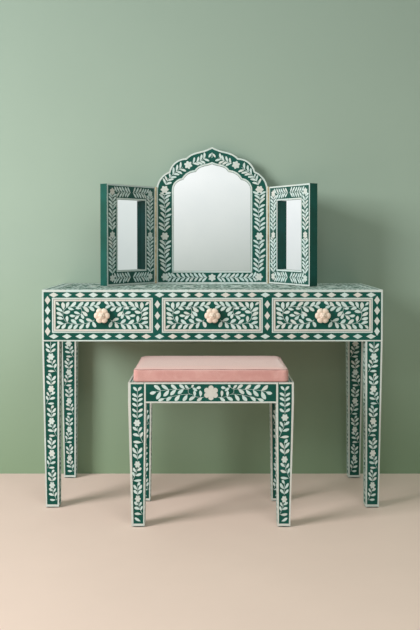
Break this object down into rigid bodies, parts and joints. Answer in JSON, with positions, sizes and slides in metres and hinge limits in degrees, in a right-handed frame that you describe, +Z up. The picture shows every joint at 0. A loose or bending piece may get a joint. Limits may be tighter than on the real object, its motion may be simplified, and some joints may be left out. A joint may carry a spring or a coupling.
{
  "type": "dressing table set",
  "caption": "Dressing table with a row of drawers, a folding arched mirror on its back edge and a cushioned stool, all green resin with bone inlay.",
  "frame": {"origin": "on the floor, at the centre of the footprint of the table and its stool together", "axes": "+Z up; -Y towards the sitter, so the drawers pull along -Y; +X to the right of a person facing the mirror"},
  "size_m": [1.2, 0.663, 1.3206],
  "materials": {
    "green_resin": "timber board under a dark green resin skin, satin",
    "bone": "polished bone, satin",
    "bare_timber": "sanded, unfinished",
    "antique_brass": "dull, aged",
    "steel": "zinc plated",
    "mirror_silver": "polished",
    "glide_rubber": "matte",
    "pink_velvet": "short pile velvet"
  },
  "bodies": {
    "table": {"table_top": "green_resin", "front_rail": "green_resin", "drawer_dividers": "green_resin", "left_apron": "green_resin", "right_apron": "green_resin", "back_apron": "green_resin", "front_left_leg": "green_resin", "front_right_leg": "green_resin", "back_left_leg": "green_resin", "back_right_leg": "green_resin", "drawer_runners": "bare_timber", "drawer_stops": "bare_timber", "top_cleats": "bare_timber", "table_screws": "steel", "table_glides": "glide_rubber", "mirror_frame": "green_resin", "mirror_glass": "mirror_silver", "mirror_backboard": "bare_timber", "mirror_straps": "steel", "mirror_screws": "steel", "hinge_leaves": "antique_brass", "hinge_pins": "antique_brass"},
    "left_drawer": {"left_drawer_front": "green_resin", "left_drawer_sides": "bare_timber", "left_drawer_bottom": "bare_timber", "left_knob": "bone", "left_knob_screw": "steel"},
    "middle_drawer": {"middle_drawer_front": "green_resin", "middle_drawer_sides": "bare_timber", "middle_drawer_bottom": "bare_timber", "middle_knob": "bone", "middle_knob_screw": "steel"},
    "right_drawer": {"right_drawer_front": "green_resin", "right_drawer_sides": "bare_timber", "right_drawer_bottom": "bare_timber", "right_knob": "bone", "right_knob_screw": "steel"},
    "left_wing": {"left_wing_frame": "green_resin", "left_wing_glass": "mirror_silver", "left_wing_backboard": "bare_timber", "left_wing_hinge_leaf": "antique_brass", "left_wing_screws": "steel"},
    "right_wing": {"right_wing_frame": "green_resin", "right_wing_glass": "mirror_silver", "right_wing_backboard": "bare_timber", "right_wing_hinge_leaf": "antique_brass", "right_wing_screws": "steel"},
    "stool": {"stool_front_left_leg": "green_resin", "stool_front_right_leg": "green_resin", "stool_back_left_leg": "green_resin", "stool_back_right_leg": "green_resin", "stool_front_apron": "green_resin", "stool_back_apron": "green_resin", "stool_side_aprons": "green_resin", "stool_seat_board": "bare_timber", "stool_cushion": "pink_velvet", "stool_corner_blocks": "bare_timber", "stool_screws": "steel", "stool_glides": "glide_rubber"}
  },
  "joints": [
    {"name": "left_drawer_slide", "type": "slide", "parent": "table", "child": "left_drawer", "axis": [0, -1, 0], "range_m": [0, 0.28]},
    {"name": "middle_drawer_slide", "type": "slide", "parent": "table", "child": "middle_drawer", "axis": [0, -1, 0], "range_m": [0, 0.28]},
    {"name": "right_drawer_slide", "type": "slide", "parent": "table", "child": "right_drawer", "axis": [0, -1, 0], "range_m": [0, 0.28]},
    {"name": "left_wing_hinge", "type": "hinge", "parent": "table", "child": "left_wing", "pos_m": [-0.224, 0.2901, 0.9695], "axis": [0, 0, 1], "range_deg": [-52, 83]},
    {"name": "right_wing_hinge", "type": "hinge", "parent": "table", "child": "right_wing", "pos_m": [0.224, 0.2901, 0.9695], "axis": [0, 0, -1], "range_deg": [-60, 75]},
    {"name": "stool_slide", "type": "slide", "parent": "table", "child": "stool", "axis": [0, 1, 0], "range_m": [-0.3, 0.25]}
  ]
}
